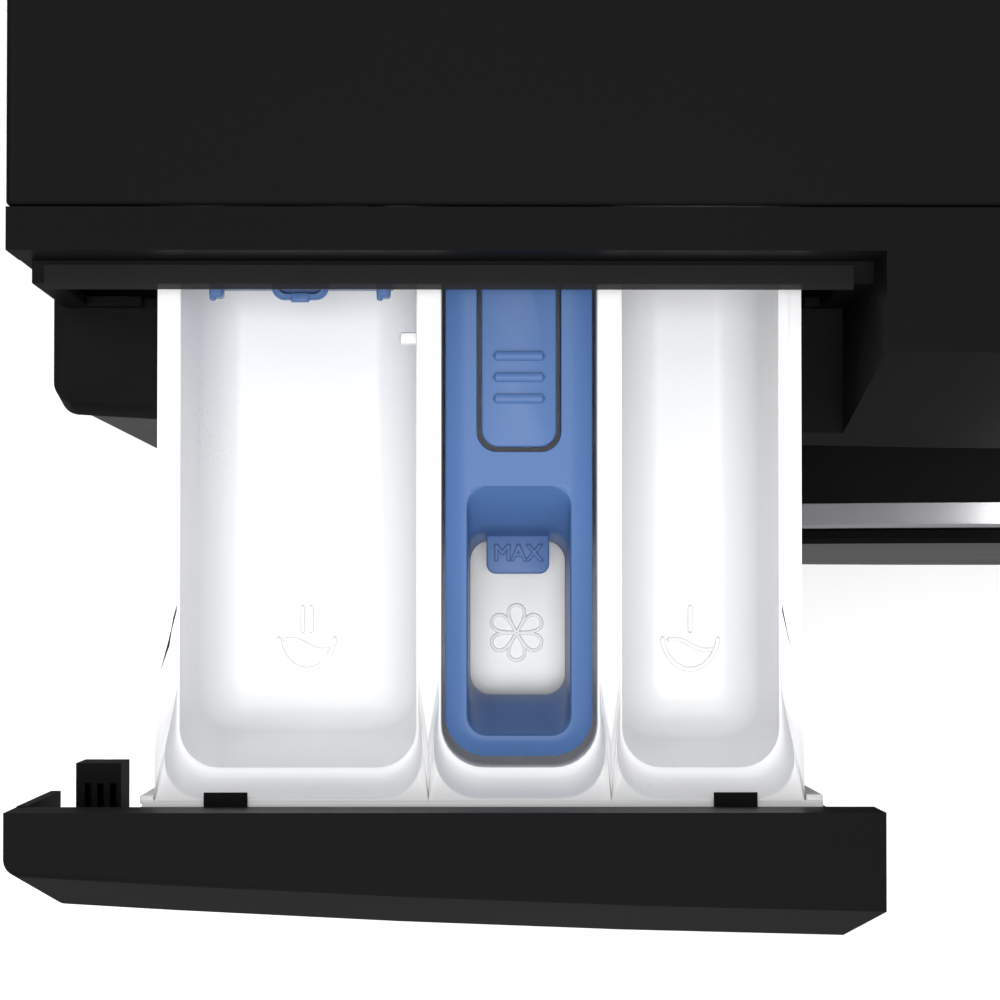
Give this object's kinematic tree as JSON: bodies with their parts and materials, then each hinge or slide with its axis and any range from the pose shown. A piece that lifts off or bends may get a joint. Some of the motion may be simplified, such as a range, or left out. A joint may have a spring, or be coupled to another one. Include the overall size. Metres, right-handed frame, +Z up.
{
  "type": "front load washing machine",
  "caption": "Black front load washing machine with an open detergent drawer, a round door with a bright trim ring, and a sprung tub with a turning drum inside.",
  "frame": {"origin": "on the floor, at the middle of the outline with the drawer drawn out", "axes": "+X to the right seen from the front, -Y out of the front, +Z up"},
  "size_m": [0.598, 0.7197, 0.848],
  "materials": {
    "black_enamel": "semi-gloss black",
    "black_plastic": "semi-gloss black",
    "black_handle": "satin black",
    "dark_pane": "gloss dark",
    "chrome_trim": "polished",
    "white_plastic": "smooth white",
    "blue_plastic": "smooth blue",
    "smoked_window": "gloss smoked",
    "smoked_lip": "smoked",
    "galvanised": "galvanised sheet",
    "stainless": "brushed",
    "cast_grey": "rough cast",
    "cast_aluminium": "cast",
    "grey_plastic": "moulded grey",
    "white_moulding": "moulded white",
    "grey_rubber": "soft grey",
    "black_rubber": "matt",
    "bowl_glass": "clear",
    "board_green": "laminate",
    "motor_steel": "laminated steel and copper",
    "zinc_steel": "zinc plated"
  },
  "bodies": {
    "cabinet": {"side_panel_left": "black_enamel", "side_panel_right": "black_enamel", "front_panel": "black_enamel", "worktop": "black_plastic", "rear_panel": "galvanised", "rear_cover": "galvanised", "panel_screws": "zinc_steel", "frame_rails": "galvanised", "rear_feet": "black_rubber", "control_panel": "black_plastic", "ledge_lip": "smoked_lip", "display_window": "smoked_window", "control_board": "board_green", "dispenser_housing": "grey_plastic", "dispenser_lid": "grey_plastic", "inlet_valve": "white_moulding", "valve_hose": "black_rubber", "dispenser_hose": "black_rubber", "door_lock": "white_moulding", "door_gasket": "grey_rubber", "hinge_bracket": "zinc_steel", "damper_cylinders": "grey_plastic", "suspension_springs": "zinc_steel", "drain_pump": "white_moulding", "sump_hose": "black_rubber", "drain_pipe": "grey_rubber", "mains_inlet": "black_rubber"},
    "left_foot": {"foot_left": "black_rubber"},
    "right_foot": {"foot_right": "black_rubber"},
    "knob": {"program_knob": "black_handle"},
    "option": {"option_button": "black_handle"},
    "start": {"start_button": "black_handle"},
    "drawer": {"drawer_tray": "white_plastic", "drawer_front": "black_plastic", "softener_insert": "blue_plastic"},
    "tongue": {"release_tongue": "blue_plastic"},
    "gate": {"liquid_gate": "blue_plastic"},
    "door": {"door_ring": "black_plastic", "door_trim": "chrome_trim", "door_cover": "dark_pane", "door_inner_frame": "grey_plastic", "door_glass": "bowl_glass", "door_hinge_arm": "zinc_steel"},
    "handle": {"door_handle": "black_handle"},
    "hook": {"door_hook": "zinc_steel"},
    "tub": {"tub_front": "white_moulding", "tub_rear": "white_moulding", "counterweights": "cast_grey", "heater": "stainless", "motor_body": "motor_steel", "drive_belt": "black_rubber", "drum_bearings": "zinc_steel", "damper_rods": "zinc_steel"},
    "drum": {"drum_shell": "stainless", "drum_lifters": "white_moulding", "drum_spider": "cast_aluminium", "drum_pulley": "cast_aluminium"},
    "motor_rotor": {"motor_pulley": "zinc_steel"},
    "flap": {"service_flap": "black_plastic"},
    "filter": {"filter_cap": "white_moulding"}
  },
  "joints": [
    {"name": "drawer_slide", "type": "slide", "parent": "cabinet", "child": "drawer", "axis": [0, -1, 0], "range_m": [-0.1305, 0]},
    {"name": "tongue_press", "type": "hinge", "parent": "drawer", "child": "tongue", "pos_m": [-0.17875, -0.14786, 0.808], "axis": [1, 0, 0], "range_deg": [0, 5], "stiffness_Nm_per_rad": 1},
    {"name": "gate_swing", "type": "hinge", "parent": "drawer", "child": "gate", "pos_m": [-0.17875, -0.19406, 0.802], "axis": [1, 0, 0], "range_deg": [0, 90]},
    {"name": "door_swing", "type": "hinge", "parent": "cabinet", "child": "door", "pos_m": [-0.252, -0.24296, 0.42], "axis": [0, 0, -1], "range_deg": [0, 165]},
    {"name": "handle_pull", "type": "hinge", "parent": "door", "child": "handle", "pos_m": [0.208, -0.24906, 0.42], "axis": [0, 0, -1], "range_deg": [0, 18], "stiffness_Nm_per_rad": 0.6},
    {"name": "hook_turn", "type": "hinge", "parent": "door", "child": "hook", "pos_m": [0.212, -0.23396, 0.356], "axis": [0, 0, -1], "range_deg": [0, 12.5]},
    {"name": "tub_bounce", "type": "slide", "parent": "cabinet", "child": "tub", "axis": [0, 0, 1], "range_m": [-0.008, 0.008], "stiffness_N_per_m": 30000, "springref_m": 0.01284, "deforming": ["suspension_springs", "dispenser_hose", "sump_hose", "door_gasket"]},
    {"name": "drum_spin", "type": "hinge", "parent": "tub", "child": "drum", "pos_m": [0, -0.12796, 0.42], "axis": [0, 1, 0], "continuous": true},
    {"name": "motor_spin", "type": "hinge", "parent": "tub", "child": "motor_rotor", "pos_m": [0.04, 0.28604, 0.095], "axis": [0, 1, 0], "continuous": true},
    {"name": "knob_turn", "type": "hinge", "parent": "cabinet", "child": "knob", "pos_m": [-0.005, -0.2236, 0.796], "axis": [0, -0.9891, 0.1474], "continuous": true},
    {"name": "option_press", "type": "slide", "parent": "cabinet", "child": "option", "axis": [0, 0.9891, -0.1474], "range_m": [0, 0.001], "stiffness_N_per_m": 1500},
    {"name": "start_press", "type": "slide", "parent": "cabinet", "child": "start", "axis": [0, 0.9891, -0.1474], "range_m": [0, 0.001], "stiffness_N_per_m": 2000},
    {"name": "flap_open", "type": "hinge", "parent": "cabinet", "child": "flap", "pos_m": [0.22, -0.21796, 0.049], "axis": [1, 0, 0], "range_deg": [0, 90]},
    {"name": "filter_turn", "type": "hinge", "parent": "cabinet", "child": "filter", "pos_m": [0.22, -0.21196, 0.082], "axis": [0, 1, 0], "range_deg": [0, 90]},
    {"name": "left_foot_screw", "type": "slide", "parent": "cabinet", "child": "left_foot", "axis": [0, 0, -1], "range_m": [-0.003, 0.012]},
    {"name": "right_foot_screw", "type": "slide", "parent": "cabinet", "child": "right_foot", "axis": [0, 0, -1], "range_m": [-0.003, 0.012]}
  ],
  "couplings": [
    {"joint": "motor_spin", "follows": "drum_spin", "ratio": 13.636},
    {"joint": "hook_turn", "follows": "handle_pull", "ratio": 0.66667}
  ]
}
